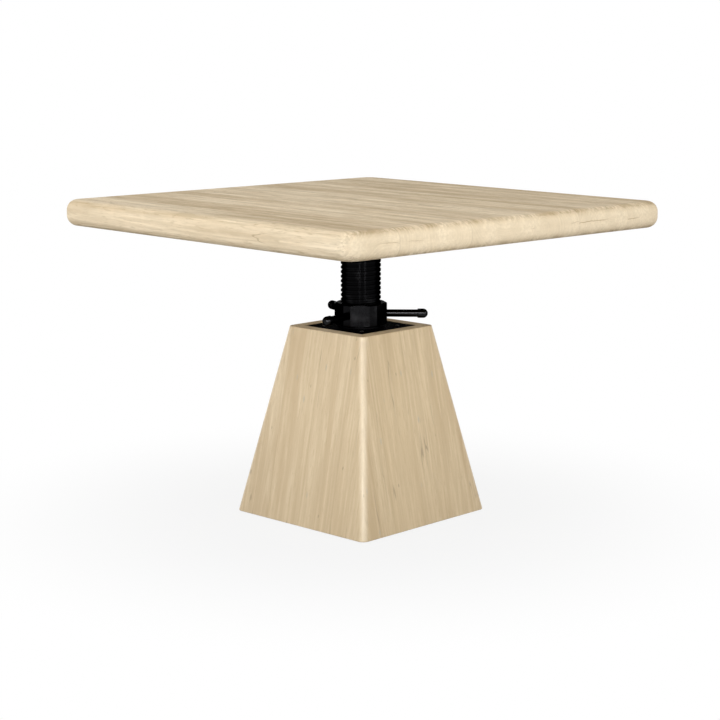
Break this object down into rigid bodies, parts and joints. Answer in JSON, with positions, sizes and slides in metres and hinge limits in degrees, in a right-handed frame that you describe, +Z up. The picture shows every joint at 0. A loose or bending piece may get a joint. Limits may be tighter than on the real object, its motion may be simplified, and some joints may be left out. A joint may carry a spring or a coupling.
{
  "type": "telescoping pedestal table",
  "caption": "Square plank dining table on a tapered wooden pedestal, with a threaded black steel column that a hand-turned nut raises and lowers.",
  "frame": {"origin": "on the floor under the axis of the column", "axes": "+Z up along the column, +X along the planks of the top, +Y across them"},
  "size_m": [1.016, 1.016, 0.757],
  "materials": {
    "top_wood": "bleached, matt, long grain along the planks",
    "base_wood": "bleached, satin, upright grain",
    "block_wood": "sawn, unfinished",
    "black_steel": "semi-gloss black",
    "screw_steel": "plain zinc",
    "black_screw": "black oxide",
    "glide_plastic": "matt"
  },
  "bodies": {
    "base": {"base_plate": "black_steel", "plate_screws": "black_screw", "thrust_washer": "black_steel", "guide_tube": "black_steel", "tube_end_ring": "black_steel", "gusset_right": "black_steel", "gusset_rear": "black_steel", "gusset_left": "black_steel", "gusset_front": "black_steel", "base_panel_right": "base_wood", "base_panel_rear": "base_wood", "base_panel_left": "base_wood", "base_panel_front": "base_wood", "plate_block_right_rear": "block_wood", "plate_block_left_rear": "block_wood", "plate_block_left_front": "block_wood", "plate_block_right_front": "block_wood", "foot_block_right_rear": "block_wood", "foot_block_left_rear": "block_wood", "foot_block_left_front": "block_wood", "foot_block_right_front": "block_wood", "floor_glide_right_rear": "glide_plastic", "floor_glide_left_rear": "glide_plastic", "floor_glide_left_front": "glide_plastic", "floor_glide_right_front": "glide_plastic"},
    "nut": {"lift_nut": "black_steel", "turning_bar_1": "black_steel", "turning_bar_2": "black_steel", "turning_bar_3": "black_steel", "bar_cap_1": "black_steel", "bar_cap_2": "black_steel", "bar_cap_3": "black_steel"},
    "lift": {"lift_column": "black_steel", "foot_ring": "black_steel", "foot_bolts": "screw_steel", "guide_key": "screw_steel", "head_flange": "black_steel", "lag_screws": "screw_steel", "top_plank_1": "top_wood", "top_plank_2": "top_wood", "top_plank_3": "top_wood", "top_plank_4": "top_wood", "top_plank_5": "top_wood", "top_plank_6": "top_wood"}
  },
  "joints": [
    {"name": "nut_turn", "type": "hinge", "parent": "base", "child": "nut", "pos_m": [0, 0, 0.487], "axis": [0, 0, -1], "range_deg": [-3150, 5130]},
    {"name": "top_lift", "type": "slide", "parent": "base", "child": "lift", "axis": [0, 0, 1], "range_m": [-0.09625, 0.15675]}
  ],
  "couplings": [
    {"joint": "top_lift", "follows": "nut_turn", "m_per_rad": 0.0017507}
  ]
}
